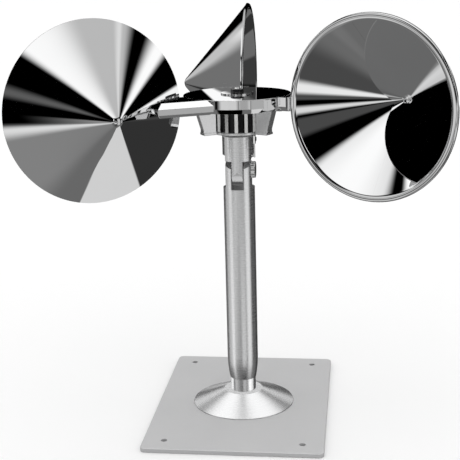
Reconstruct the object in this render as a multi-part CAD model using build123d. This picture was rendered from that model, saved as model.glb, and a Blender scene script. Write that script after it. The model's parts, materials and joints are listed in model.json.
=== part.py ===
"""Cup anemometer: a three-cup rotor on a tilting head, on a mast with a square-cornered base plate.

Millimetres, +Z up. The origin is on the mast axis at the underside of the base plate.
X runs across the narrow side of the plate and along the tilt hinge, Y runs along its length.
"""
from build123d import *
import math
import os

# Base plate and its four fixing holes
PLATE_W = 130.0
PLATE_D = 182.0
PLATE_T = 3.2
PLATE_CORNER_R = 4.0
PLATE_EDGE = 0.5
HOLE_SPACING_X = 99.0
HOLE_SPACING_Y = 154.0
HOLE_R = 2.25

# Conical boss, bolted through the plate from below
BOSS_BASE_R = 38.3
BOSS_TOP_R = 14.6
BOSS_TOP_Z = 13.6
BOSS_SKIRT = 0.5
FOOT_BOLT_R = 4.0
FOOT_BOLT_HEAD_R = 7.6
FOOT_BOLT_TOP_Z = 36.0
BOLT_CLEARANCE = 0.2

# Spigot between the boss and the mast
SPIGOT_R = 9.6
SPIGOT_TOP_Z = 48.0
MAST_FOOT_Z = 23.5

# Mast: a long tube that tapers at its foot and ends in a fork
MAST_R = 11.6
MAST_BORE_R = 8.0
MAST_TAPER_TOP_Z = 40.5
MAST_FOOT_R = 10.0
MAST_BORE_TOP_Z = 158.0
GRUB_Z = 33.0
GRUB_R = 2.0

# Tilt hinge: fork ears, slot, tongue and clamp screw, all on one axis along X
HINGE_Z = 185.2
TILT_LIMIT = 30.0
EAR_TOP_R = 7.3
EAR_FLAT_X = 9.1
SHOULDER_Z = 172.6
SLOT_HALF = 4.5
SLOT_FLOOR_Z = 172.0
SLOT_CHAMFER = 0.6
TONGUE_HALF = 3.95
TONGUE_R = 11.6
NECK_BOTTOM_R = 7.6
HINGE_SHAFT_R = 2.5
RUNNING_GAP = 0.06
CLAMP_HEAD_R = 6.15
CLAMP_HEAD_T = 3.4
CLAMP_FLUTES = 24
FRICTION_WASHER_R = 7.0
WASHER_GAP = 0.05

# Head tube: bearing housing above the tongue
HEAD_BOTTOM_Z = 196.8
HEAD_TOP_Z = 211.0
HEAD_POCKET_Z = 198.2
BEARING_R = 8.0
BEARING_T = 5.0
BEARING_BORE_R = 2.5
LOWER_BEARING_Z = 199.5
UPPER_BEARING_Z = 205.5
BALL_R = 1.4
BALL_PITCH_R = 5.25
BALL_COUNT = 8
INNER_RING_R = 3.85
OUTER_RING_BORE_R = BALL_PITCH_R + BALL_R + RUNNING_GAP

# Detent: a leaf spring on the +X side of the head tube with a ball at its tip
LEAF_W = 5.0
LEAF_T = 0.6
LEAF_PAD_T = 1.3
LEAF_PAD_BOTTOM_Z = 204.6
LEAF_TIP_Z = 194.4
DETENT_BALL_R = 1.2
DETENT_BALL_Z = 195.6

# Rotor: hub disc, toothed ring and flange, in the tilting head's frame
ROTOR_AZIMUTH = 90.4
HUB_R = 39.0
HUB_BOTTOM_Z = 231.0
HUB_TOP_Z = 241.0
HUB_CHAMFER = 3.5
RING_BOTTOM_Z = 214.7
RING_BORE_R = 11.5
RING_ROOT_R = 15.6
RING_TIP_R = 18.3
RING_TEETH = 16
TOOTH_W = 2.4
FLANGE_R = 19.0
FLANGE_BOTTOM_Z = 213.0
FLANGE_LOBE_U = 28.0
FLANGE_LOBE_HALF_W = 4.0
BUSH_R = 8.0
RING_SCREW_PITCH_R = 13.6
RING_SCREW_R = 1.2
SPINDLE_SHOULDER_R = 3.7
SPINDLE_TOP_Z = 245.2
SPINDLE_BOTTOM_Z = 198.5
TOP_WASHER_R = 11.7
TOP_WASHER_T = 0.9
NUT_FLATS = 8.0
NUT_T = 2.4

# Arms: one per cup, along the radius to the cup, set off towards the cup's tip
ARM_LEAD_ROOT = 26.0
ARM_LEAD_TIP = 22.4
ARM_TRAIL_ROOT = -6.2
ARM_TRAIL_TIP = -4.6
ARM_TIP_U = 76.0
ARM_TRAIL_END_U = 44.8
ARM_TOP_CHAMFER = 3.8
ARM_LEAD_BOTTOM_CHAMFER = 2.2
ARM_TONGUE_T = 5.0
ARM_TONGUE_START_U = 17.0
ARM_TONGUE_V = (-4.0, 16.0)
ARM_SCREW_UV = (30.5, 10.0)
SCREW_R = 1.5
SCREW_HEAD_R = 2.75
SCREW_HEAD_T = 3.0
SCREW_TOP_Z = 239.0

# Notch: a pocket under the rim of the hub disc beside each arm
NOTCH_U = 31.0
NOTCH_V = (-17.3, -6.8)
NOTCH_TOP_Z = 240.2

# Gussets: wedge blocks under the roots of the arms, standing on the flange's lobes
GUSSET_HALF_W = 3.0
GUSSET_INNER_R = 18.6
GUSSET_OUTER_BOTTOM_R = 28.0
GUSSET_OUTER_TOP_R = 32.2
GUSSET_STEP_Z = 217.0
GUSSET_SCREW_U = 24.5
GUSSET_SCREW_HEAD_R = 2.7

# Cups: conical shells with a rounded tip, thickest at a short cylindrical lip
CUP_PITCH_R = 108.4
CUP_Z = 236.4
CUP_R = 63.3
CUP_DEPTH = 54.5
CUP_WALL = 1.2
CUP_TIP_R = 6.0
LIP_DEPTH = 2.0
LIP_WALL = 4.0
CUP_COUNT = 3

SAVE_FOLDER = "parts"


def save(name, shape):
    """Write one node as a STEP file."""
    shape.label = name
    export_step(shape, os.path.join(SAVE_FOLDER, name + ".step"))


def rod(radius, bottom, top, at=(0.0, 0.0)):
    """A vertical cylinder between two heights."""
    return Pos(at[0], at[1], bottom) * Cylinder(radius, top - bottom, align=(Align.CENTER, Align.CENTER, Align.MIN))


def tube(outer, inner, bottom, top):
    """A vertical ring between two heights."""
    return rod(outer, bottom, top) - rod(inner, bottom - 1, top + 1)


def cone(bottom_r, top_r, bottom, top):
    """A vertical cone between two heights."""
    return Pos(0, 0, bottom) * Cone(bottom_r, top_r, top - bottom, align=(Align.CENTER, Align.CENTER, Align.MIN))


def x_rod(radius, start, end, z):
    """A cylinder along X between two stations, at one height."""
    return Pos(start, 0, z) * Rot(0, 90, 0) * Cylinder(
        radius, end - start, align=(Align.CENTER, Align.CENTER, Align.MIN))


def block(low, high):
    """A box from its lowest to its highest corner."""
    size = [h - l for l, h in zip(low, high)]
    return Pos(*low) * Box(*size, align=(Align.MIN, Align.MIN, Align.MIN))


def group(shapes):
    """Several separate solids in one node."""
    return Compound(children=[solid for shape in shapes for solid in shape.solids()])


def turned(profile):
    """Revolve an outline in the XZ plane about the Z axis."""
    face = make_face(Plane.XZ * Polyline(*profile, close=True))
    return revolve(face, Axis.Z, 360)


def plate_hole_places():
    """Centres of the four fixing holes."""
    return [(sx * HOLE_SPACING_X / 2, sy * HOLE_SPACING_Y / 2) for sx in (-1, 1) for sy in (-1, 1)]


def cup_angles():
    """Azimuth of each cup's centre, in degrees."""
    return [ROTOR_AZIMUTH + 360.0 * k / CUP_COUNT for k in range(CUP_COUNT)]


def place_around(shape, angle):
    """Turn a shape built along +X to an azimuth about the mast axis."""
    return Rot(0, 0, angle) * shape


# ---- Stand ----

def base_plate():
    plate = Pos(0, 0, PLATE_T / 2) * Box(PLATE_W, PLATE_D, PLATE_T)
    plate = fillet(plate.edges().filter_by(Axis.Z), PLATE_CORNER_R)
    plate = chamfer(plate.faces().sort_by(Axis.Z)[-1].outer_wire().edges(), PLATE_EDGE)
    for place in plate_hole_places():
        plate -= rod(HOLE_R, -1, PLATE_T + 1, place)
    plate -= rod(FOOT_BOLT_R + BOLT_CLEARANCE, -1, PLATE_T + 1)
    plate -= foot_bolt_seat(BOLT_CLEARANCE)
    return plate


def foot_bolt_seat(clearance):
    """The 90 degree countersink under the plate, and the head that fills it."""
    head = FOOT_BOLT_HEAD_R + clearance
    return cone(head, FOOT_BOLT_R + clearance, 0, head - FOOT_BOLT_R - clearance)


def base_boss():
    boss = turned([
        (FOOT_BOLT_R + BOLT_CLEARANCE, PLATE_T), (BOSS_BASE_R, PLATE_T), (BOSS_BASE_R, PLATE_T + BOSS_SKIRT),
        (BOSS_TOP_R, BOSS_TOP_Z), (FOOT_BOLT_R + BOLT_CLEARANCE, BOSS_TOP_Z)])
    return boss - foot_bolt_seat(BOLT_CLEARANCE)


def foot_bolt():
    bolt = foot_bolt_seat(0) + rod(FOOT_BOLT_R, 0, FOOT_BOLT_TOP_Z)
    socket = extrude(RegularPolygon(2.6, 6), 2.4)
    return bolt - socket


def foot_spigot():
    spigot = rod(SPIGOT_R, BOSS_TOP_Z, MAST_FOOT_Z) + rod(MAST_BORE_R, MAST_FOOT_Z, SPIGOT_TOP_Z)
    spigot -= rod(FOOT_BOLT_R, BOSS_TOP_Z - 1, FOOT_BOLT_TOP_Z)
    return spigot - grub_hole(GRUB_R)


def grub_hole(radius):
    """A radial hole from the back of the mast into the spigot wall."""
    depth_start = MAST_BORE_R - 2.0
    return Pos(0, depth_start, GRUB_Z) * Rot(-90, 0, 0) * Cylinder(
        radius, MAST_R - depth_start + 1, align=(Align.CENTER, Align.CENTER, Align.MIN))


def mast_grub_screw():
    start = MAST_BORE_R - 2.0
    length = 3.6
    screw = Pos(0, start, GRUB_Z) * Rot(-90, 0, 0) * Cylinder(
        GRUB_R, length, align=(Align.CENTER, Align.CENTER, Align.MIN))
    socket = Pos(0, start + length - 1.4, GRUB_Z) * Rot(-90, 0, 0) * extrude(RegularPolygon(1.1, 6), 2)
    return screw - socket


def mast_blank():
    """The mast as turned: a plain bar with a blind bore, its foot curving in towards the spigot."""
    outline = Polyline(
        (MAST_R, MAST_TAPER_TOP_Z), (MAST_R, HINGE_Z), (0, HINGE_Z), (0, MAST_BORE_TOP_Z),
        (MAST_BORE_R, MAST_BORE_TOP_Z), (MAST_BORE_R, MAST_FOOT_Z), (MAST_FOOT_R, MAST_FOOT_Z))
    curve = TangentArc((MAST_R, MAST_TAPER_TOP_Z), (MAST_FOOT_R, MAST_FOOT_Z), tangent=(0, -1))
    return revolve(make_face(Plane.XZ * (outline + curve)), Axis.Z, 360)


def mast_tube():
    mast = mast_blank()
    mast += rod(MAST_R, HINGE_Z, HINGE_Z + EAR_TOP_R) & ear_outline()
    for side in (-1, 1):
        low_x, high_x = sorted((side * EAR_FLAT_X, side * (MAST_R + 1)))
        mast -= block((low_x, -MAST_R - 1, SHOULDER_Z), (high_x, MAST_R + 1, HINGE_Z + MAST_R))
    mast -= block((-SLOT_HALF, -MAST_R - 1, SLOT_FLOOR_Z), (SLOT_HALF, MAST_R + 1, HINGE_Z + MAST_R))
    for side in (-1, 1):
        mast -= slot_edge_cut(side)
    mast -= x_rod(HINGE_SHAFT_R, -MAST_R, 0, HINGE_Z)
    mast -= x_rod(HINGE_SHAFT_R + RUNNING_GAP, 0, MAST_R, HINGE_Z)
    return mast - grub_hole(GRUB_R)


def ear_outline():
    """The side view of the fork's ears: a round top whose sloping sides clear the tilting neck."""
    tilt = math.radians(TILT_LIMIT)
    slope_z = (EAR_TOP_R - MAST_R * math.sin(tilt)) / math.cos(tilt)
    touch = (EAR_TOP_R * math.sin(tilt), EAR_TOP_R * math.cos(tilt))
    outline = make_face(Plane.YZ * Polyline(
        (-MAST_R, -1), (MAST_R, -1), (MAST_R, slope_z), touch, (-touch[0], touch[1]), (-MAST_R, slope_z),
        close=True))
    return Pos(0, 0, HINGE_Z) * extrude(outline, MAST_R, both=True) + x_rod(EAR_TOP_R, -MAST_R, MAST_R, HINGE_Z)


def slot_edge_cut(side):
    """A bar turned 45 degrees that chamfers both slot edges on one face of the fork."""
    width = 2 * (SLOT_HALF + SLOT_CHAMFER)
    front = -side * math.sqrt(MAST_R ** 2 - SLOT_HALF ** 2)
    bar = Rot(0, 0, 45) * Box(width / math.sqrt(2), width / math.sqrt(2), 2 * MAST_R)
    return Pos(0, front, SLOT_FLOOR_Z + MAST_R) * bar


# ---- Tilt hinge and head ----

def clamp_screw():
    shaft = x_rod(HINGE_SHAFT_R, -EAR_FLAT_X + 0.4, EAR_FLAT_X + 0.5, HINGE_Z)
    head_start = EAR_FLAT_X
    head = x_rod(CLAMP_HEAD_R, head_start, head_start + CLAMP_HEAD_T, HINGE_Z)
    head = chamfer(head.edges().filter_by(GeomType.CIRCLE), 0.4)
    flute = x_rod(0.45, head_start - 1, head_start + CLAMP_HEAD_T + 1, HINGE_Z)
    for k in range(CLAMP_FLUTES):
        angle = 2 * math.pi * k / CLAMP_FLUTES
        reach = CLAMP_HEAD_R + 0.12
        head -= Pos(0, reach * math.cos(angle), reach * math.sin(angle)) * flute
    return shaft + head


def friction_washers():
    """One thin washer each side of the tongue, inside the fork's slot and tight on the screw."""
    bore = x_rod(HINGE_SHAFT_R, -SLOT_HALF, SLOT_HALF, HINGE_Z)
    washers = []
    for side in (-1, 1):
        start, end = sorted((side * SLOT_HALF, side * (TONGUE_HALF + WASHER_GAP)))
        washers.append(x_rod(FRICTION_WASHER_R, start, end, HINGE_Z) - bore)
    return group(washers)


def head_tube():
    head = rod(MAST_R, HEAD_BOTTOM_Z, HEAD_TOP_Z)
    head = chamfer(head.edges().filter_by(GeomType.CIRCLE), 0.3)
    neck_bottom = HINGE_Z + NECK_BOTTOM_R
    neck = rod(MAST_R, neck_bottom, HEAD_BOTTOM_Z + 1)
    head += neck & block((-EAR_FLAT_X, -MAST_R, neck_bottom), (EAR_FLAT_X, MAST_R, HEAD_BOTTOM_Z + 1))
    tongue = rod(MAST_R, HINGE_Z - TONGUE_R, neck_bottom + 1)
    tongue &= block((-TONGUE_HALF, -MAST_R, HINGE_Z - TONGUE_R), (TONGUE_HALF, MAST_R, neck_bottom + 1))
    below_axis = block((-MAST_R, -MAST_R, HINGE_Z - MAST_R), (MAST_R, MAST_R, HINGE_Z))
    head += tongue - (below_axis - x_rod(TONGUE_R, -MAST_R, MAST_R, HINGE_Z))
    head -= rod(BEARING_R, LOWER_BEARING_Z, HEAD_TOP_Z + 1)
    head -= rod(BEARING_R - 1.5, HEAD_POCKET_Z, LOWER_BEARING_Z + 1)
    head -= x_rod(HINGE_SHAFT_R + RUNNING_GAP, -MAST_R, MAST_R, HINGE_Z)
    return head - x_rod(0.8, MAST_R - 2.2, MAST_R + 1, rivet_z())


def rivet_z():
    """Height of the rivet in the middle of the leaf spring's pad."""
    return (LEAF_PAD_BOTTOM_Z + HEAD_TOP_Z) / 2


def detent_spring():
    """A leaf that follows the head tube: a thicker pad above and a thin blade below."""
    reach = LEAF_W / 2
    pad = tube(MAST_R + LEAF_PAD_T, MAST_R, LEAF_PAD_BOTTOM_Z, HEAD_TOP_Z - 0.4)
    blade = tube(MAST_R + LEAF_T + 0.1, MAST_R + 0.1, LEAF_TIP_Z, LEAF_PAD_BOTTOM_Z + 1)
    leaf = pad & block((0, -reach, LEAF_PAD_BOTTOM_Z), (MAST_R * 2, reach, HEAD_TOP_Z))
    blade &= block((0, -reach * 0.6, LEAF_TIP_Z), (MAST_R * 2, reach * 0.6, LEAF_PAD_BOTTOM_Z + 1))
    return leaf + blade - x_rod(0.8, MAST_R - 3, MAST_R + 3, rivet_z())


def detent_ball():
    return Pos(MAST_R + 0.1 - DETENT_BALL_R, 0, DETENT_BALL_Z) * Sphere(DETENT_BALL_R)


def spring_rivet():
    shank = x_rod(0.8, MAST_R - 2.2, MAST_R + LEAF_PAD_T, rivet_z())
    cap = x_rod(1.5, MAST_R + LEAF_PAD_T, MAST_R + LEAF_PAD_T + 0.5, rivet_z())
    return shank + cap


def bearing_outer_ring(bottom):
    return tube(BEARING_R, OUTER_RING_BORE_R, bottom, bottom + BEARING_T)


def bearing_inner_ring(bottom):
    return tube(INNER_RING_R, BEARING_BORE_R, bottom, bottom + BEARING_T)


def bearing_balls(bottom):
    balls = []
    for k in range(BALL_COUNT):
        angle = 2 * math.pi * k / BALL_COUNT
        x, y = BALL_PITCH_R * math.cos(angle), BALL_PITCH_R * math.sin(angle)
        balls.append(Pos(x, y, bottom + BEARING_T / 2) * Sphere(BALL_R))
    return group(balls)


def outer_spacer():
    return tube(BEARING_R, OUTER_RING_BORE_R, LOWER_BEARING_Z + BEARING_T, UPPER_BEARING_Z)


def inner_spacer():
    return tube(INNER_RING_R, BEARING_BORE_R, LOWER_BEARING_Z + BEARING_T, UPPER_BEARING_Z)


def bearing_retainer():
    """A split ring that holds the upper bearing in the head tube."""
    ring = tube(BEARING_R, OUTER_RING_BORE_R, UPPER_BEARING_Z + BEARING_T, HEAD_TOP_Z)
    return ring - block((-BEARING_R - 1, -0.8, HEAD_POCKET_Z), (0, 0.8, HEAD_TOP_Z + 1))


# ---- Rotor ----

def spindle():
    shaft = rod(BEARING_BORE_R, SPINDLE_BOTTOM_Z, SPINDLE_TOP_Z)
    shaft = chamfer(shaft.edges().filter_by(GeomType.CIRCLE), 0.4)
    shoulder = rod(SPINDLE_SHOULDER_R, UPPER_BEARING_Z + BEARING_T, FLANGE_BOTTOM_Z)
    groove = tube(BEARING_BORE_R + 1, BEARING_BORE_R - 0.4, LOWER_BEARING_Z - 0.7, LOWER_BEARING_Z - 0.1)
    return shaft + shoulder - groove


def spindle_circlip():
    clip = tube(BEARING_BORE_R + 1.4, BEARING_BORE_R - 0.4, LOWER_BEARING_Z - 0.7, LOWER_BEARING_Z - 0.1)
    return clip - block((-BEARING_R, -0.9, HEAD_POCKET_Z), (0, 0.9, LOWER_BEARING_Z + 1))


def hub_bush():
    return tube(BUSH_R, BEARING_BORE_R, FLANGE_BOTTOM_Z, HUB_TOP_Z)


def ring_screw_places():
    """Centres of the three screws that hold the toothed ring, midway between the arms."""
    places = []
    for angle in cup_angles():
        turn = math.radians(angle + 60.0)
        places.append((RING_SCREW_PITCH_R * math.cos(turn), RING_SCREW_PITCH_R * math.sin(turn)))
    return places


def pulse_ring():
    """The toothed ring under the hub disc."""
    ring = rod(RING_ROOT_R, RING_BOTTOM_Z, HUB_BOTTOM_Z)
    tooth = block((RING_ROOT_R - 1, -TOOTH_W / 2, RING_BOTTOM_Z), (RING_TIP_R, TOOTH_W / 2, HUB_BOTTOM_Z))
    for k in range(RING_TEETH):
        ring += place_around(tooth, 360.0 * k / RING_TEETH + 3.0)
    ring -= rod(RING_BORE_R, RING_BOTTOM_Z - 1, HUB_BOTTOM_Z + 1)
    for place in ring_screw_places():
        ring -= rod(RING_SCREW_R, RING_BOTTOM_Z - 1, HUB_BOTTOM_Z + 1, place)
    return ring


def ring_flange():
    flange = rod(FLANGE_R, FLANGE_BOTTOM_Z, RING_BOTTOM_Z)
    lobe = block((0, -FLANGE_LOBE_HALF_W, FLANGE_BOTTOM_Z), (FLANGE_LOBE_U, FLANGE_LOBE_HALF_W, RING_BOTTOM_Z))
    for angle in cup_angles():
        flange += place_around(lobe, angle)
    flange = chamfer(flange.faces().sort_by(Axis.Z)[0].outer_wire().edges(), 0.3)
    for angle in cup_angles():
        flange -= place_around(gusset_screw(0), angle)
    flange -= rod(BUSH_R, FLANGE_BOTTOM_Z - 1, RING_BOTTOM_Z + 1)
    for place in ring_screw_places():
        flange -= rod(RING_SCREW_R, FLANGE_BOTTOM_Z - 1, RING_BOTTOM_Z + 1, place)
        flange -= rod(RING_SCREW_R + 1.0, FLANGE_BOTTOM_Z - 1, FLANGE_BOTTOM_Z + 0.9, place)
    return flange


def ring_screws():
    screws = []
    for place in ring_screw_places():
        head = rod(RING_SCREW_R + 1.0, FLANGE_BOTTOM_Z, FLANGE_BOTTOM_Z + 0.9, place)
        screws.append(head + rod(RING_SCREW_R, FLANGE_BOTTOM_Z, HUB_BOTTOM_Z + 6, place))
    return group(screws)


def arm_tongue(clearance):
    """The thin root of an arm, which lies in a pocket under the hub disc."""
    low_v, high_v = ARM_TONGUE_V
    return block(
        (ARM_TONGUE_START_U - clearance, low_v - clearance, HUB_BOTTOM_Z - clearance),
        (HUB_R + 2, high_v + clearance, HUB_BOTTOM_Z + ARM_TONGUE_T))


def arm_screw(clearance):
    """The screw under each arm's root, with its head sunk in the tongue."""
    place = ARM_SCREW_UV
    head = rod(SCREW_HEAD_R + clearance, HUB_BOTTOM_Z, HUB_BOTTOM_Z + SCREW_HEAD_T, place)
    return head + rod(SCREW_R, HUB_BOTTOM_Z, SCREW_TOP_Z, place)


def gusset_screw(clearance):
    """The long countersunk screw up through each flange lobe, gusset and arm root into the hub disc."""
    head_r = GUSSET_SCREW_HEAD_R + clearance
    head = Pos(GUSSET_SCREW_U, 0, 0) * cone(head_r, SCREW_R, FLANGE_BOTTOM_Z, FLANGE_BOTTOM_Z + head_r - SCREW_R)
    return head + rod(SCREW_R, FLANGE_BOTTOM_Z, SCREW_TOP_Z, (GUSSET_SCREW_U, 0.0))


def hub_plate():
    hub = turned([
        (BUSH_R, HUB_BOTTOM_Z), (HUB_R - HUB_CHAMFER, HUB_BOTTOM_Z), (HUB_R, HUB_BOTTOM_Z + HUB_CHAMFER),
        (HUB_R, HUB_TOP_Z - 0.3), (HUB_R - 0.3, HUB_TOP_Z), (BUSH_R, HUB_TOP_Z)])
    for angle in cup_angles():
        hub -= place_around(arm_tongue(0.05), angle)
        hub -= place_around(arm_screw(0.1), angle)
        hub -= place_around(gusset_screw(0), angle)
        hub -= place_around(notch(), angle)
    for place in ring_screw_places():
        hub -= rod(RING_SCREW_R, HUB_BOTTOM_Z - 1, HUB_BOTTOM_Z + 6, place)
    return hub


def notch():
    """The pocket under the hub disc's rim on the trailing side of an arm."""
    return block((NOTCH_U, NOTCH_V[0], HUB_BOTTOM_Z - 1), (HUB_R + 1, NOTCH_V[1], NOTCH_TOP_Z))


def arm_bar():
    """The thick outer part of an arm, along +X, before the hub and the cup are cut from it."""
    start_u = HUB_R - 14
    outline = make_face(Polyline(
        (start_u, ARM_TRAIL_ROOT), (ARM_TRAIL_END_U, ARM_TRAIL_TIP), (ARM_TRAIL_END_U + 0.3, 0),
        (ARM_TRAIL_END_U + 2, LIP_DEPTH), (ARM_TIP_U, ARM_LEAD_TIP), (start_u, ARM_LEAD_ROOT), close=True))
    bar = Pos(0, 0, HUB_BOTTOM_Z) * extrude(outline, HUB_TOP_Z - HUB_BOTTOM_Z)
    bar -= arm_edge_wedge(ARM_TRAIL_ROOT, ARM_TRAIL_TIP, ARM_TRAIL_END_U, -1, False, HUB_CHAMFER)
    bar -= arm_edge_wedge(ARM_LEAD_ROOT, ARM_LEAD_TIP, ARM_TIP_U, 1, True, ARM_TOP_CHAMFER)
    bar -= arm_edge_wedge(ARM_LEAD_ROOT, ARM_LEAD_TIP, ARM_TIP_U, 1, False, ARM_LEAD_BOTTOM_CHAMFER)
    return bar


def arm_edge_wedge(root_v, tip_v, tip_u, side, top, size):
    """A triangular bar that cuts a chamfer of the given size along one long edge of an arm."""
    start_u = HUB_R - 16
    run = tip_u - (HUB_R - 14)
    slope = (tip_v - root_v) / run
    z = HUB_TOP_Z if top else HUB_BOTTOM_Z
    inward = -1 if top else 1
    triangle = make_face(Plane.YZ * Polyline(
        (-side * size, 0), (side * 0.01, 0), (side * 3, 0), (side * 3, inward * size), (0, inward * size),
        close=True))
    length = tip_u - start_u + 4
    wedge = extrude(triangle, length, dir=(1, 0, 0))
    corner_v = root_v + slope * (start_u - (HUB_R - 14))
    return Pos(start_u, corner_v, z) * Rot(0, 0, math.degrees(math.atan(slope))) * wedge


def cup_body():
    """The solid shape of a cup's outside, along +X from the hub with its tip towards +Y."""
    half_angle = math.atan2(CUP_R, CUP_DEPTH)
    tip_centre = CUP_DEPTH - CUP_TIP_R / math.sin(half_angle)
    touch_v = tip_centre + CUP_TIP_R * math.sin(half_angle)
    touch_r = CUP_TIP_R * math.cos(half_angle)
    with BuildPart() as body:
        with BuildSketch(Plane.XY):
            with BuildLine():
                Polyline((0, -LIP_DEPTH), (CUP_R, -LIP_DEPTH), (CUP_R, 0), (touch_r, touch_v))
                ThreePointArc(
                    (touch_r, touch_v),
                    (CUP_TIP_R * math.sin(half_angle / 2), tip_centre + CUP_TIP_R * math.cos(half_angle / 2)),
                    (0, tip_centre + CUP_TIP_R))
                Line((0, tip_centre + CUP_TIP_R), (0, -LIP_DEPTH))
            make_face()
        revolve(axis=Axis.Y)
    return body.part


def cup_hollow():
    """The space inside a cup: a cone from the lip's inner edge, tangent to the rounded inside of the tip."""
    outer_half_angle = math.atan2(CUP_R, CUP_DEPTH)
    tip_centre = CUP_DEPTH - CUP_TIP_R / math.sin(outer_half_angle)
    inner_tip_r = CUP_TIP_R - CUP_WALL
    mouth_r = CUP_R - LIP_WALL
    reach = math.hypot(mouth_r, tip_centre + LIP_DEPTH)
    half_angle = math.atan2(mouth_r, tip_centre + LIP_DEPTH) - math.asin(inner_tip_r / reach)
    touch_v = tip_centre + inner_tip_r * math.sin(half_angle)
    touch_r = inner_tip_r * math.cos(half_angle)
    with BuildPart() as hollow:
        with BuildSketch(Plane.XY):
            with BuildLine():
                Polyline((0, -LIP_DEPTH - 1), (mouth_r, -LIP_DEPTH - 1), (mouth_r, -LIP_DEPTH), (touch_r, touch_v))
                ThreePointArc(
                    (touch_r, touch_v),
                    (inner_tip_r * math.sin(half_angle / 2), tip_centre + inner_tip_r * math.cos(half_angle / 2)),
                    (0, tip_centre + inner_tip_r))
                Line((0, tip_centre + inner_tip_r), (0, -LIP_DEPTH - 1))
            make_face()
        revolve(axis=Axis.Y)
    return hollow.part


def cup_shell():
    return Pos(CUP_PITCH_R, LIP_DEPTH, CUP_Z) * (cup_body() - cup_hollow())


def cup_arm():
    """One arm along +X: a thick bar cut to the hub and the cup, and a thin root under the hub."""
    arm = arm_bar()
    arm -= rod(HUB_R, HUB_BOTTOM_Z - 1, HUB_TOP_Z + 1)
    arm -= Pos(CUP_PITCH_R, LIP_DEPTH, CUP_Z) * cup_body()
    arm += arm_tongue(0) & arm_root_limit()
    arm -= arm_screw(0.1)
    return arm - rod(SCREW_R, HUB_BOTTOM_Z - 1, HUB_TOP_Z, (GUSSET_SCREW_U, 0.0))


def arm_root_limit():
    """The hub disc's own outline, a little longer, so that the tongue joins the thick bar."""
    return rod(HUB_R + 1, HUB_BOTTOM_Z - 1, HUB_TOP_Z)


def arm_gusset():
    """A wedge block along +X, between a flange lobe and the root of an arm."""
    side = make_face(Plane.XZ * Polyline(
        (GUSSET_INNER_R - 3, RING_BOTTOM_Z), (GUSSET_OUTER_BOTTOM_R, RING_BOTTOM_Z),
        (GUSSET_OUTER_BOTTOM_R, GUSSET_STEP_Z), (GUSSET_OUTER_TOP_R, HUB_BOTTOM_Z),
        (GUSSET_INNER_R - 3, HUB_BOTTOM_Z), close=True))
    wedge = extrude(side, GUSSET_HALF_W, both=True)
    wedge -= rod(GUSSET_INNER_R, RING_BOTTOM_Z - 1, HUB_BOTTOM_Z + 1)
    return wedge - gusset_screw(0)


def top_washer():
    return tube(TOP_WASHER_R, BEARING_BORE_R, HUB_TOP_Z, HUB_TOP_Z + TOP_WASHER_T)


def spindle_nut():
    hexagon = RegularPolygon(NUT_FLATS / 2, 6, major_radius=False)
    nut = Pos(0, 0, HUB_TOP_Z + TOP_WASHER_T) * extrude(hexagon, NUT_T)
    return nut - rod(BEARING_BORE_R, HUB_TOP_Z, SPINDLE_TOP_Z + 1)


def build():
    os.makedirs("parts", exist_ok=True)
    save("base_plate", base_plate())
    save("base_boss", base_boss())
    save("foot_bolt", foot_bolt())
    save("foot_spigot", foot_spigot())
    save("mast_tube", mast_tube())
    save("mast_grub_screw", mast_grub_screw())
    save("clamp_screw", clamp_screw())
    save("friction_washers", friction_washers())
    save("head_tube", head_tube())
    save("detent_spring", detent_spring())
    save("detent_ball", detent_ball())
    save("spring_rivet", spring_rivet())
    for name, bottom in (("lower", LOWER_BEARING_Z), ("upper", UPPER_BEARING_Z)):
        save(name + "_bearing_outer", bearing_outer_ring(bottom))
        save(name + "_bearing_inner", bearing_inner_ring(bottom))
        save(name + "_bearing_balls", bearing_balls(bottom))
    save("outer_spacer", outer_spacer())
    save("inner_spacer", inner_spacer())
    save("bearing_retainer", bearing_retainer())
    save("spindle", spindle())
    save("spindle_circlip", spindle_circlip())
    save("hub_bush", hub_bush())
    save("pulse_ring", pulse_ring())
    save("ring_flange", ring_flange())
    save("ring_screws", ring_screws())
    save("hub_plate", hub_plate())
    for number, angle in enumerate(cup_angles(), start=1):
        save(f"cup_arm_{number}", place_around(cup_arm(), angle))
        save(f"arm_gusset_{number}", place_around(arm_gusset(), angle))
        save(f"cup_{number}", place_around(cup_shell(), angle))
    save("arm_screws", group(place_around(arm_screw(0), angle) for angle in cup_angles()))
    save("gusset_screws", group(place_around(gusset_screw(0), angle) for angle in cup_angles()))
    save("top_washer", top_washer())
    save("spindle_nut", spindle_nut())


build()
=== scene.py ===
"""Cup anemometer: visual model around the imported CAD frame."""
import json
import math

import bmesh
import bpy
from mathutils import Matrix, Vector


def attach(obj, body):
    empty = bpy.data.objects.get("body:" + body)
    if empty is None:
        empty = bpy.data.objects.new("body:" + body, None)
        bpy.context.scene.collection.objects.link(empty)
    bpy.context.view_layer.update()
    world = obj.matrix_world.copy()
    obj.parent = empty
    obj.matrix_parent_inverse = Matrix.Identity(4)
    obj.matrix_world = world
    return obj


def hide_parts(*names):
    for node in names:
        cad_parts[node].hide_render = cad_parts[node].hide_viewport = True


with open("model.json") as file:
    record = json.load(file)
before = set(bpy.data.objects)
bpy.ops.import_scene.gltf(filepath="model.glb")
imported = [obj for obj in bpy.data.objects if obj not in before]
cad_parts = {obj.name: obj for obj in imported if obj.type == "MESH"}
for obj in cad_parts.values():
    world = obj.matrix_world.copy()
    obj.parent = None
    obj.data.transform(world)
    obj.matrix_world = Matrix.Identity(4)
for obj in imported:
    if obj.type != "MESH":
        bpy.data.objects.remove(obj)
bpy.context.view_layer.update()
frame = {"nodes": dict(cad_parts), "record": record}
nodes = frame["nodes"]

MM = 0.001

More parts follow.
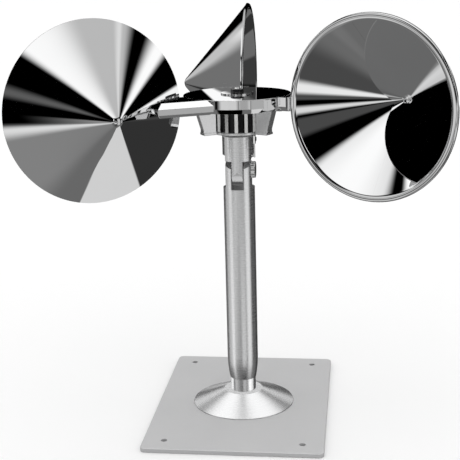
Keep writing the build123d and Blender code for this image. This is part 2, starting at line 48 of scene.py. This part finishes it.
# The azimuth in degrees of the first cup at rest, and the cups' sizes in millimetres, as in the CAD
ROTOR_AZIMUTH = 90.4
CUP_PITCH_R = 108.4
CUP_Z = 236.4
CUP_R = 63.3
CUP_DEPTH = 54.5
CUP_WALL = 1.2
CUP_TIP_R = 6.0
LIP_DEPTH = 2.0
LIP_WALL = 4.0
LIP_ROUND = 1.6


# ---- Camera ----

def add_camera():
    """A long lens a little above the rotor and in front of the stand, shifted as the framing needs."""
    place = Vector((0.08789, -0.78499, 0.34137))
    yaw, pitch, roll = 0.14, 0.2633, -0.0295
    forward = Vector((-math.sin(yaw) * math.cos(pitch), math.cos(yaw) * math.cos(pitch), -math.sin(pitch)))
    level = Vector((math.cos(yaw), math.sin(yaw), 0.0))
    upright = level.cross(forward)
    right = math.cos(roll) * level + math.sin(roll) * upright
    up = -math.sin(roll) * level + math.cos(roll) * upright
    data = bpy.data.cameras.new("view_camera")
    data.sensor_width = 36.0
    data.lens = 85.52
    data.shift_x = 0.0428
    data.shift_y = 0.0322
    data.clip_start = 0.01
    data.clip_end = 20.0
    camera = bpy.data.objects.new("view_camera", data)
    turn = Matrix((right, up, -forward)).transposed()
    camera.matrix_world = Matrix.Translation(place) @ turn.to_4x4()
    bpy.context.scene.collection.objects.link(camera)
    bpy.context.scene.camera = camera


# ---- Mesh helpers ----

def link(name, mesh):
    piece = bpy.data.objects.new(name, mesh)
    bpy.context.scene.collection.objects.link(piece)
    return piece


# A point closer to the axis than this, in millimetres, is on it
ON_AXIS = 1e-6


def turned_point(bm, radius, height, segments):
    """The corners that one point of an outline makes: a ring of them, or a single one on the axis."""
    if radius < ON_AXIS:
        return [bm.verts.new((0, 0, height * MM))]
    ring = []
    for k in range(segments):
        turn = 2 * math.pi * k / segments
        x = radius * MM * math.cos(turn)
        y = radius * MM * math.sin(turn)
        ring.append(bm.verts.new((x, y, height * MM)))
    return ring


def join_rings(bm, low, high, segments):
    """Faces from one ring of corners to the next; they are triangles where a ring is a single corner."""
    for k in range(segments):
        after = (k + 1) % segments
        corners = [low[k % len(low)], low[after % len(low)], high[after % len(high)], high[k % len(high)]]
        unique = []
        for corner in corners:
            if corner not in unique:
                unique.append(corner)
        bm.faces.new(unique)


def lathe(name, profile, segments=256, corner_deg=25.0):
    """Turn a closed (radius, height) outline in millimetres about local Z.

    Edges that bend by more than corner_deg stay crisp.
    """
    mesh = bpy.data.meshes.new(name)
    bm = bmesh.new()
    rings = [turned_point(bm, radius, height, segments) for radius, height in profile]
    for low, high in zip(rings, rings[1:] + rings[:1]):
        if len(low) > 1 or len(high) > 1:
            join_rings(bm, low, high, segments)
    bmesh.ops.recalc_face_normals(bm, faces=bm.faces)
    for face in bm.faces:
        face.smooth = True
    limit = math.radians(corner_deg)
    for edge in bm.edges:
        if len(edge.link_faces) == 2 and edge.calc_face_angle(0.0) > limit:
            edge.smooth = False
    bm.to_mesh(mesh)
    bm.free()
    return link(name, mesh)


def arc(centre, radius, start_deg, end_deg, steps):
    """Points of an arc in a (radius, height) outline."""
    points = []
    for k in range(steps + 1):
        turn = math.radians(start_deg + (end_deg - start_deg) * k / steps)
        points.append((centre[0] + radius * math.cos(turn), centre[1] + radius * math.sin(turn)))
    return points


def rounded_corner(before, corner, after, reach, steps=8):
    """Points that round one corner of an outline, starting and ending the given reach from it."""
    start = Vector(corner) + (Vector(before) - Vector(corner)).normalized() * reach
    end = Vector(corner) + (Vector(after) - Vector(corner)).normalized() * reach
    middle = Vector(corner)
    points = []
    for k in range(steps + 1):
        t = k / steps
        points.append(tuple(start * (1 - t) ** 2 + middle * 2 * t * (1 - t) + end * t ** 2))
    return points


def cup_profile():
    """Outline of a cup's shell: local Z runs from the mouth towards the tip."""
    outer_half = math.atan2(CUP_R, CUP_DEPTH)
    centre_z = CUP_DEPTH - CUP_TIP_R / math.sin(outer_half)
    inner_tip_r = CUP_TIP_R - CUP_WALL
    mouth_r = CUP_R - LIP_WALL
    reach = math.hypot(mouth_r, centre_z + LIP_DEPTH)
    inner_half = math.atan2(mouth_r, centre_z + LIP_DEPTH) - math.asin(inner_tip_r / reach)
    outer_tip = arc((0, centre_z), CUP_TIP_R, math.degrees(outer_half), 90, steps=10)
    inner_tip = arc((0, centre_z), inner_tip_r, 90, math.degrees(inner_half), steps=8)
    outer_lip = (CUP_R, -LIP_DEPTH)
    inner_lip = (mouth_r, -LIP_DEPTH)
    outline = rounded_corner(inner_lip, outer_lip, (CUP_R, 0.0), LIP_ROUND) + [(CUP_R, 0.0)]
    outline += outer_tip[:-1] + [(0.0, outer_tip[-1][1]), (0.0, inner_tip[0][1])]
    outline += inner_tip[1:] + rounded_corner(inner_tip[-1], inner_lip, outer_lip, LIP_ROUND)
    return outline


def place_cup(piece, azimuth):
    """Put a cup made about local Z on the rotor: mouth centre on the pitch circle, tip towards the turn."""
    turn = math.radians(azimuth)
    outward = Vector((math.cos(turn), math.sin(turn), 0.0))
    ahead = Vector((-math.sin(turn), math.cos(turn), 0.0))
    up = Vector((0, 0, 1))
    axes = Matrix((up.cross(ahead), up, ahead)).transposed()
    place = (outward * CUP_PITCH_R + ahead * LIP_DEPTH + up * CUP_Z) * MM
    piece.data.transform(Matrix.Translation(place) @ axes.to_4x4())


def build_cups():
    """The three cups' shells, in place of the CAD's, since their lips are round."""
    cups = []
    for number in (1, 2, 3):
        cup = lathe(f"cup_shell_{number}", cup_profile())
        place_cup(cup, ROTOR_AZIMUTH + 120.0 * (number - 1))
        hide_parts(f"cup_{number}")
        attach(cup, "rotor")
        cups.append(cup)
    return cups


# ---- Studio ----

def display(value):
    """Linear light for a screen value from 0 to 1."""
    return value / 12.92 if value <= 0.04045 else ((value + 0.055) / 1.055) ** 2.4


# Soft boxes and flags round the object, seen only in reflections, painted one over the other.
# name, azimuth, half width, soft edge, lowest, its soft edge, highest, its soft edge (all in degrees),
# level (a screen value from 0 to 1)
PANELS = [
    ("ground_pool", 0, 180, 1, -91, 1, -12, 4, 0.41),
    ("ground_front_left", 226, 16, 22, -72, 20, -13, 3, 0.51),
    ("ground_front_right", 296, 25, 24, -62, 24, -12, 4, 0.28),
    ("ground_back_right", 52, 16, 4, -52, 1, -12, 4, 0.19),
    ("ground_hole", 112, 44, 4, -91, 1, -66, 3, 0.0),
    ("ground_rear_edge", 8, 14, 10, -20, 3, 2, 3, 0.23),
    ("ground_card", 26, 23.5, 1, -85, 1, -49.5, 1, 0.82),
    ("ceiling", 0, 180, 1, 44.5, 8, 91, 1, 0.73),
    ("ceiling_front", 226, 62, 100, 45, 8, 91, 1, 1.0),
    ("ceiling_rear_edge", 20, 30, 14, 50, 3, 54, 5, 0.86),
    ("wall_back_right", 32, 22, 8, 18.5, 5, 29, 10, 1.0),
    ("slot_back_right", 38, 16, 8, -3, 2, 1.5, 2, 0.97),
    ("side_left", 207, 13, 8, -40, 12, 30, 20, 0.80),
    ("rim_shade", 210, 12, 8, -16, 4, 1, 4, 0.40),
    ("rim_band", 210, 16, 8, -10, 4, -4.8, 4, 0.81),
    ("side_right", 333, 18, 10, -40, 12, 30, 20, 0.76),
    ("lip_strip", 267, 4, 3, 8, 4, 38, 8, 1.0),
    ("hub_band_left", 258, 20, 12, -12, 3, -4, 3, 0.80),
    ("hub_band_right", 326, 24, 14, -12, 3, -4, 3, 0.66),
    ("skirting_left", 229, 11, 3, -21, 9, -14, 4, 0.86),
    ("skirting_front", 249, 8, 3, -15.5, 6, -9, 5, 0.84),
    ("skirting_right", 290, 16, 8, -27, 7, -17, 5, 0.92),
    ("glow_left", 233, 7, 3, 10, 6, 17, 7, 0.36),
    ("glow_front", 246, 5, 3, -1, 3, 2, 3, 0.40),
    ("strip_right", 289, 14, 8, -5, 4, 1, 4, 0.85),
    ("glow_right", 288, 13, 8, 5, 3, 20, 6, 0.28),
    ("wall_back_left", 144, 13, 6, 3, 4, 19, 4, 0.76),
    ("wall_back_far", 166, 14, 12, -9, 4, 19, 4, 0.44),
    ("wall_back_high", 152, 14, 8, 18, 3, 33, 5, 1.0),
    ("slot_back", 98, 8, 5, -6, 3, 3, 3, 1.0),
]


def math_node(tree, operation, *values):
    """A math node; each value is a number or another node's socket."""
    node = tree.nodes.new("ShaderNodeMath")
    node.operation = operation
    for index, value in enumerate(values):
        if isinstance(value, (int, float)):
            node.inputs[index].default_value = value
        else:
            tree.links.new(value, node.inputs[index])
    return node.outputs[0]


def angle_step(tree, value, centre, soft, rising=True):
    """A smooth step that crosses a half at the centre.

    The centre and the step's soft width are in degrees, and the value in radians.
    """
    node = tree.nodes.new("ShaderNodeMapRange")
    node.interpolation_type = "SMOOTHSTEP"
    tree.links.new(value, node.inputs["Value"])
    node.inputs["From Min"].default_value = math.radians(centre - soft / 2)
    node.inputs["From Max"].default_value = math.radians(centre + soft / 2)
    node.inputs["To Min"].default_value = 0.0 if rising else 1.0
    node.inputs["To Max"].default_value = 1.0 if rising else 0.0
    return node.outputs["Result"]


def panel_mask(tree, azimuth, elevation, sides, bottom, top):
    """One inside a panel and nought outside it.

    In degrees, sides is its azimuth, half width and soft edge; bottom and top are each an elevation
    and a soft edge.
    """
    centre, half, soft = sides
    away = math_node(tree, "SUBTRACT", azimuth, math.radians(centre))
    away = math_node(tree, "WRAP", away, math.pi, -math.pi)
    away = math_node(tree, "ABSOLUTE", away)
    between = angle_step(tree, away, half, soft, rising=False)
    above = angle_step(tree, elevation, *bottom)
    below = angle_step(tree, elevation, *top, rising=False)
    return math_node(tree, "MULTIPLY", between, math_node(tree, "MULTIPLY", above, below))


def studio_light(tree):
    """The light of the panels, each painted over the ones before it, on black."""
    coordinates = tree.nodes.new("ShaderNodeTexCoord")
    split = tree.nodes.new("ShaderNodeSeparateXYZ")
    tree.links.new(coordinates.outputs["Generated"], split.inputs[0])
    azimuth = math_node(tree, "ARCTAN2", split.outputs["Y"], split.outputs["X"])
    elevation = math_node(tree, "ARCSINE", split.outputs["Z"])
    light = None
    for name, centre, half, soft, low, low_soft, high, high_soft, level in PANELS:
        mask = panel_mask(tree, azimuth, elevation, (centre, half, soft), (low, low_soft), (high, high_soft))
        mix = tree.nodes.new("ShaderNodeMix")
        mix.label = name
        tree.links.new(mask, mix.inputs["Factor"])
        mix.inputs["A"].default_value = 0.0
        if light is not None:
            tree.links.new(light, mix.inputs["A"])
        mix.inputs["B"].default_value = display(level)
        light = mix.outputs["Result"]
    return light


def build_world():
    """A white room for the eye and for diffuse light, and the studio of panels for reflections."""
    world = bpy.data.worlds.new("studio")
    bpy.context.scene.world = world
    world.use_nodes = True
    tree = world.node_tree
    tree.nodes.clear()
    reflected = tree.nodes.new("ShaderNodeBackground")
    tree.links.new(studio_light(tree), reflected.inputs["Color"])
    room = tree.nodes.new("ShaderNodeBackground")
    room.inputs["Color"].default_value = (1, 1, 1, 1)
    room.inputs["Strength"].default_value = 1.04
    path = tree.nodes.new("ShaderNodeLightPath")
    choose = tree.nodes.new("ShaderNodeMixShader")
    tree.links.new(path.outputs["Is Glossy Ray"], choose.inputs[0])
    tree.links.new(room.outputs[0], choose.inputs[1])
    tree.links.new(reflected.outputs[0], choose.inputs[2])
    output = tree.nodes.new("ShaderNodeOutputWorld")
    tree.links.new(choose.outputs[0], output.inputs[0])


def build_floor():
    """A wide white ground just under the plate."""
    mesh = bpy.data.meshes.new("floor")
    reach = 15.0
    height = -0.0002
    corners = [(x * reach, y * reach, height) for x, y in ((-1, -1), (1, -1), (1, 1), (-1, 1))]
    mesh.from_pydata(corners, [], [(0, 1, 2, 3)])
    floor = link("floor", mesh)
    material = bpy.data.materials.new("floor_paint")
    material.use_nodes = True
    shader = material.node_tree.nodes["Principled BSDF"]
    shader.inputs["Base Color"].default_value = (0.99, 0.99, 0.99, 1)
    shader.inputs["Roughness"].default_value = 0.9
    shader.inputs["Specular IOR Level"].default_value = 0.1
    mesh.materials.append(material)
    floor.visible_glossy = False


# Lamps that light only some parts, so that the chrome keeps its own studio.
# name, parts lit, azimuth and elevation in degrees, distance, width and height in metres, brightness
LAMPS = [
    ("lamp_left", "satin", 190, 2, 0.6, 0.70, 0.9, 0.40),
    ("lamp_right", "satin", 335, 2, 0.6, 0.42, 0.9, 0.32),
    ("lamp_front", "satin", 270, 0, 0.7, 1.30, 0.9, 0.17),
    ("lamp_above", "satin", 96, 62, 0.7, 0.70, 0.75, 0.72),
    ("lamp_boss_back", "boss", 102, 15, 0.7, 0.95, 0.26, 0.76),
    ("lamp_boss_above", "boss", 96, 62, 0.7, 0.80, 0.75, 0.64),
    ("lamp_tongue", "head", 276, -60, 0.5, 0.60, 0.5, 0.50),
    ("lamp_knob", "knob", 254, -16, 0.5, 0.32, 0.4, 0.60),
    ("lamp_arms", "arms", 0, 71, 0.6, 0.60, 0.4, 0.60),
    ("lamp_foot_left", "foot", 152, -26, 0.556, 0.44, 0.25, 0.90),
    ("lamp_foot_right", "foot", 352, -26, 0.556, 0.44, 0.25, 0.90),
    ("lamp_hub", "hub", 291, 2.2, 0.5945, 0.230, 0.09, 0.36),
]
LAMP_AIM = Vector((0.0, 0.0, 0.13))


def build_lamps(lit):
    """Area lamps, each linked to the collection of the parts it lights.

    Only those parts block a lamp, except that every piece blocks the satin parts' lamps.
    """
    for name, parts, azimuth, elevation, distance, width, height, brightness in LAMPS:
        turn, lift = math.radians(azimuth), math.radians(elevation)
        toward = Vector((math.cos(turn) * math.cos(lift), math.sin(turn) * math.cos(lift), math.sin(lift)))
        data = bpy.data.lights.new(name, "AREA")
        data.shape = "RECTANGLE"
        data.size = width
        data.size_y = height
        data.energy = brightness * math.pi * width * height
        lamp = bpy.data.objects.new(name, data)
        lamp.location = LAMP_AIM + toward * distance
        lamp.rotation_euler = toward.to_track_quat("Z", "Y").to_euler()
        lamp.visible_camera = False
        bpy.context.scene.collection.objects.link(lamp)
        lamp.light_linking.receiver_collection = lit[parts]
        if parts != "satin":
            lamp.light_linking.blocker_collection = lit[parts]


# ---- Materials ----

def new_material(name):
    material = bpy.data.materials.new(name)
    material.use_nodes = True
    return material, material.node_tree, material.node_tree.nodes["Principled BSDF"]


def noise(tree, scale, detail=4.0, stretch=(1, 1, 1), source=None):
    """Noise over the piece's own coordinates in metres, stretched along an axis by a factor below one."""
    if source is None:
        source = tree.nodes.new("ShaderNodeTexCoord").outputs["Object"]
    mapping = tree.nodes.new("ShaderNodeMapping")
    mapping.inputs["Scale"].default_value = stretch
    texture = tree.nodes.new("ShaderNodeTexNoise")
    texture.inputs["Scale"].default_value = scale
    texture.inputs["Detail"].default_value = detail
    tree.links.new(source, mapping.inputs["Vector"])
    tree.links.new(mapping.outputs[0], texture.inputs["Vector"])
    return texture.outputs[0]


def turned_coordinates(tree):
    """Distance from the axis and height, so that noise over them makes the rings left by a lathe tool."""
    split = tree.nodes.new("ShaderNodeSeparateXYZ")
    tree.links.new(tree.nodes.new("ShaderNodeTexCoord").outputs["Object"], split.inputs[0])
    radius = math_node(tree, "MULTIPLY", split.outputs["X"], split.outputs["X"])
    radius = math_node(tree, "MULTIPLY_ADD", split.outputs["Y"], split.outputs["Y"], radius)
    radius = math_node(tree, "SQRT", radius)
    join = tree.nodes.new("ShaderNodeCombineXYZ")
    tree.links.new(radius, join.inputs["X"])
    tree.links.new(split.outputs["Z"], join.inputs["Z"])
    return join.outputs[0]


def spread(tree, value, low, high, from_low=0.3, from_high=0.7):
    """Map a value to the range from low to high; without from_low and from_high it is taken to be noise."""
    node = tree.nodes.new("ShaderNodeMapRange")
    tree.links.new(value, node.inputs["Value"])
    node.inputs["From Min"].default_value = from_low
    node.inputs["From Max"].default_value = from_high
    node.inputs["To Min"].default_value = low
    node.inputs["To Max"].default_value = high
    return node.outputs["Result"]


# A mix node's sockets that carry colours, as opposed to numbers or vectors
MIX_FIRST_COLOUR = 6
MIX_SECOND_COLOUR = 7
MIX_COLOUR_RESULT = 2


def blend_colours(tree, factor, first, second):
    """Mix two colours; each is a tuple or another node's socket."""
    node = tree.nodes.new("ShaderNodeMix")
    node.data_type = "RGBA"
    tree.links.new(factor, node.inputs["Factor"])
    for value, index in ((first, MIX_FIRST_COLOUR), (second, MIX_SECOND_COLOUR)):
        if isinstance(value, tuple):
            node.inputs[index].default_value = (*value, 1.0)
        else:
            tree.links.new(value, node.inputs[index])
    return node.outputs[MIX_COLOUR_RESULT]


def rounded_edges(tree, radius):
    """Normals that round each sharp edge over the given radius in metres."""
    bevel = tree.nodes.new("ShaderNodeBevel")
    bevel.samples = 4
    bevel.inputs["Radius"].default_value = radius
    return bevel.outputs[0]


def edge_mask(tree, rounded):
    """One at the edges and nought on the flats."""
    geometry = tree.nodes.new("ShaderNodeNewGeometry")
    dot = tree.nodes.new("ShaderNodeVectorMath")
    dot.operation = "DOT_PRODUCT"
    tree.links.new(rounded, dot.inputs[0])
    tree.links.new(geometry.outputs["Normal"], dot.inputs[1])
    return spread(tree, dot.outputs["Value"], 1.0, 0.0, 0.80, 0.99)


def relief(tree, height, strength, distance, normal=None):
    """A bump of the given depth in metres."""
    bump = tree.nodes.new("ShaderNodeBump")
    bump.inputs["Strength"].default_value = strength
    bump.inputs["Distance"].default_value = distance
    tree.links.new(height, bump.inputs["Height"])
    if normal is not None:
        tree.links.new(normal, bump.inputs["Normal"])
    return bump.outputs[0]


def hazy_chrome(name):
    """Chrome's metal and colour, and the haze that clouds both kinds of chrome."""
    material, tree, shader = new_material(name)
    shader.inputs["Metallic"].default_value = 1.0
    haze = noise(tree, 35.0, 3.0)
    colour = blend_colours(tree, haze, (0.95, 0.955, 0.96), (0.985, 0.985, 0.985))
    tree.links.new(colour, shader.inputs["Base Color"])
    return material, tree, shader, haze


def mirror_chrome():
    """Polished chrome: a clear mirror with a trace of haze, upright polishing marks and rounded edges."""
    material, tree, shader, haze = hazy_chrome("mirror_chrome")
    marks = noise(tree, 900.0, 2.0, (1.0, 1.0, 0.05))
    smear = math_node(tree, "MULTIPLY", marks, haze)
    tree.links.new(spread(tree, smear, 0.0, 0.035, 0.15, 0.5), shader.inputs["Roughness"])
    rounded = rounded_edges(tree, 0.0003)
    tree.links.new(relief(tree, marks, 0.02, 0.00001, rounded), shader.inputs["Normal"])
    return material


def cup_chrome():
    """The cups' chrome, without rounded edges, since their lips are modelled round."""
    material, tree, shader, haze = hazy_chrome("cup_chrome")
    marks = noise(tree, 700.0, 3.0)
    smear = math_node(tree, "MULTIPLY", marks, haze)
    tree.links.new(spread(tree, smear, 0.0, 0.03, 0.15, 0.5), shader.inputs["Roughness"])
    tree.links.new(relief(tree, marks, 0.01, 0.00001), shader.inputs["Normal"])
    return material


def satin_aluminium():
    """Turned and lightly brushed aluminium: rings from the tool, a soft gloss and brighter worn edges."""
    material, tree, shader = new_material("satin_aluminium")
    shader.inputs["Metallic"].default_value = 1.0
    rings = noise(tree, 9000.0, 2.0, (1, 1, 1), turned_coordinates(tree))
    cloud = noise(tree, 60.0, 4.0)
    rounded = rounded_edges(tree, 0.0004)
    colour = blend_colours(tree, cloud, (0.86, 0.865, 0.87), (0.89, 0.89, 0.895))
    colour = blend_colours(tree, edge_mask(tree, rounded), colour, (0.97, 0.97, 0.97))
    tree.links.new(colour, shader.inputs["Base Color"])
    tree.links.new(spread(tree, rings, 0.262, 0.278), shader.inputs["Roughness"])
    tree.links.new(relief(tree, rings, 0.002, 0.00002, rounded), shader.inputs["Normal"])
    return material


def plate_grey():
    """Bead-blasted grey plate: a fine even speckle, faint clouding, and painted shade along the edges and on
    the sides, which are darker than the top.
    """
    material, tree, shader = new_material("plate_grey")
    shader.inputs["Metallic"].default_value = 0.2
    speckle = noise(tree, 2600.0, 3.0)
    cloud = noise(tree, 22.0, 4.0)
    rounded = rounded_edges(tree, 0.0005)
    grain = blend_colours(tree, spread(tree, speckle, 0.0, 1.0), (0.65, 0.65, 0.655), (0.71, 0.71, 0.715))
    clouded = blend_colours(tree, spread(tree, cloud, 0.0, 0.35), grain, (0.74, 0.74, 0.74))
    # Painted shade: the colour turns darker along the edges.
    colour = blend_colours(tree, edge_mask(tree, rounded), clouded, (0.42, 0.42, 0.43))
    # Painted shade: faces that do not point up get a darker grey than the top.
    normal = tree.nodes.new("ShaderNodeSeparateXYZ")
    tree.links.new(tree.nodes.new("ShaderNodeNewGeometry").outputs["Normal"], normal.inputs[0])
    top_vs_painted_side_shade = spread(tree, normal.outputs["Z"], 0.0, 1.0)
    tree.links.new(blend_colours(tree, top_vs_painted_side_shade, (0.48, 0.48, 0.485), colour), shader.inputs["Base Color"])
    tree.links.new(spread(tree, speckle, 0.42, 0.58), shader.inputs["Roughness"])
    tree.links.new(relief(tree, speckle, 0.15, 0.00003, rounded), shader.inputs["Normal"])
    return material


def dark_steel():
    """Black-oxide fastener steel: near black, slightly mottled, with bare metal along the edges."""
    material, tree, shader = new_material("dark_steel")
    shader.inputs["Metallic"].default_value = 1.0
    mottle = noise(tree, 800.0, 5.0)
    rounded = rounded_edges(tree, 0.00025)
    colour = blend_colours(tree, spread(tree, mottle, 0.0, 1.0), (0.025, 0.025, 0.027), (0.06, 0.06, 0.063))
    colour = blend_colours(tree, edge_mask(tree, rounded), colour, (0.32, 0.31, 0.30))
    tree.links.new(colour, shader.inputs["Base Color"])
    tree.links.new(spread(tree, mottle, 0.26, 0.42), shader.inputs["Roughness"])
    tree.links.new(relief(tree, mottle, 0.1, 0.00002, rounded), shader.inputs["Normal"])
    return material


def bright_steel():
    """Ground and polished steel: a near mirror with fine turning rings."""
    material, tree, shader = new_material("bright_steel")
    shader.inputs["Metallic"].default_value = 1.0
    rings = noise(tree, 7000.0, 2.0, (1, 1, 1), turned_coordinates(tree))
    cloud = noise(tree, 120.0, 4.0)
    rounded = rounded_edges(tree, 0.00025)
    colour = blend_colours(tree, cloud, (0.80, 0.80, 0.80), (0.90, 0.90, 0.89))
    tree.links.new(colour, shader.inputs["Base Color"])
    tree.links.new(spread(tree, rings, 0.05, 0.12), shader.inputs["Roughness"])
    tree.links.new(relief(tree, rings, 0.04, 0.00001, rounded), shader.inputs["Normal"])
    return material


# Distance from the axis in metres over which the pulse ring turns from painted shade to a painted highlight,
# near its 18.3 mm tips
TOOTH_PAINTED_SHADE_R = 0.0174
TOOTH_PAINTED_HIGHLIGHT_R = 0.0180


def toothed_steel_painted_light():
    """The pulse ring's hobbed steel: painted shade, near black, in the gaps, and a painted highlight on the
    tips of the teeth.
    """
    material, tree, shader = new_material("toothed_steel_painted_light")
    shader.inputs["Metallic"].default_value = 1.0
    mottle = noise(tree, 900.0, 4.0)
    split = tree.nodes.new("ShaderNodeSeparateXYZ")
    tree.links.new(turned_coordinates(tree), split.inputs[0])
    # Painted highlight on the tips and painted shade in the gaps, chosen by distance from the axis
    tip = spread(tree, split.outputs["X"], 0.0, 1.0, TOOTH_PAINTED_SHADE_R, TOOTH_PAINTED_HIGHLIGHT_R)
    rounded = rounded_edges(tree, 0.0003)
    dark = blend_colours(tree, mottle, (0.01, 0.01, 0.011), (0.03, 0.03, 0.031))
    tree.links.new(blend_colours(tree, tip, dark, (0.88, 0.88, 0.87)), shader.inputs["Base Color"])
    tree.links.new(spread(tree, mottle, 0.16, 0.26), shader.inputs["Roughness"])
    tree.links.new(relief(tree, mottle, 0.05, 0.00001, rounded), shader.inputs["Normal"])
    return material


def fibre():
    """Vulcanised fibre washers: dark red-brown with a felted grain."""
    material, tree, shader = new_material("fibre")
    felt = noise(tree, 1500.0, 6.0, (1.0, 0.3, 0.3))
    colour = blend_colours(tree, felt, (0.05, 0.03, 0.025), (0.13, 0.08, 0.06))
    tree.links.new(colour, shader.inputs["Base Color"])
    tree.links.new(spread(tree, felt, 0.6, 0.85), shader.inputs["Roughness"])
    tree.links.new(relief(tree, felt, 0.3, 0.00005), shader.inputs["Normal"])
    return material


# ---- Painting ----

def paint(piece, material):
    """Give a piece one material in place of any it has."""
    piece.data.materials.clear()
    piece.data.materials.append(material)


# The parts that each set of lamps lights. The satin set is filled from the record: it takes each part that
# is neither chrome nor the grey plate, except NOT_SATIN. The head is in its own set and in the satin one.
LIT_PARTS = {
    "boss": ("base_boss",),
    "foot": ("foot_spigot",),
    "head": ("head_tube",),
    "hub": ("hub_plate",),
    "arms": ("cup_arm_1", "cup_arm_2", "cup_arm_3"),
    "knob": ("clamp_screw",),
    "satin": (),
}
NOT_SATIN = ("spindle_nut", "base_boss", "foot_spigot", "clamp_screw")


def paint_all(cups):
    """Paint each CAD node and each cup, and gather the parts that each set of lamps lights.

    A node has its slot's material, except for the pulse ring and the foot spigot.
    """
    makers = (mirror_chrome, satin_aluminium, plate_grey, dark_steel, bright_steel, fibre)
    by_slot = {maker.__name__: maker() for maker in makers}
    lit = {}
    for parts, names in LIT_PARTS.items():
        lit[parts] = bpy.data.collections.new("lit_" + parts)
        for name in names:
            lit[parts].objects.link(nodes[name])
    for part in frame["record"]["subparts"]:
        node = nodes[part["node"]]
        paint(node, by_slot[part["material_slot"]])
        if part["material_slot"] not in ("mirror_chrome", "plate_grey") and part["node"] not in NOT_SATIN:
            lit["satin"].objects.link(node)
    # The pulse ring gets its painted shade in the gaps and painted highlight on the tips
    paint(nodes["pulse_ring"], toothed_steel_painted_light())
    paint(nodes["foot_spigot"], by_slot["satin_aluminium"])
    polish = cup_chrome()
    for cup in cups:
        paint(cup, polish)
    return lit


# Starts of the names of the CAD nodes that show in reflections
REFLECTED = ("cup_arm", "arm_gusset", "gusset_screws", "arm_screws", "hub_plate", "top_washer", "spindle_nut")


def hide_from_reflections():
    """Leave only the cups and the upper rotor parts in reflections, besides the studio itself."""
    for name, node in nodes.items():
        if not name.startswith(REFLECTED):
            node.visible_glossy = False


bpy.context.scene.view_settings.view_transform = "Standard"
add_camera()
build_world()
build_floor()
cups = build_cups()
build_lamps(paint_all(cups))
hide_from_reflections()
